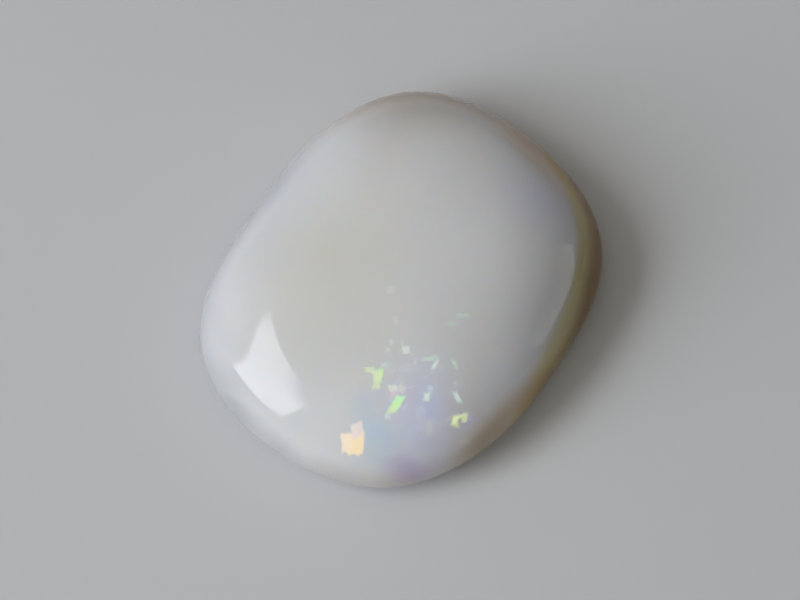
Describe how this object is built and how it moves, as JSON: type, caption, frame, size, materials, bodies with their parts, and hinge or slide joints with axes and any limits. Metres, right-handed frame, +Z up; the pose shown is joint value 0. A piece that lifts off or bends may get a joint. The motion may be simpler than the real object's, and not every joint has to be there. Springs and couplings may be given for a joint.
{
  "type": "polished opal cabochon",
  "caption": "Cushion-shaped cabochon of milky white opal with a polished dome, a rounded girdle, a shallow back with a flat facet to rest on, and a patch of play-of-colour flakes.",
  "frame": {"origin": "centre of the plan's box, in the plane of the flat facet under the stone", "axes": "+X along the stone, +Y across it, +Z up out of the dome"},
  "size_m": [0.0144, 0.0122, 0.0043],
  "materials": {
    "milky_opal": "high polish, milky and translucent, with small flakes of play-of-colour near one corner"
  },
  "bodies": {
    "root": {"opal_cabochon": "milky_opal"}
  },
  "joints": []
}
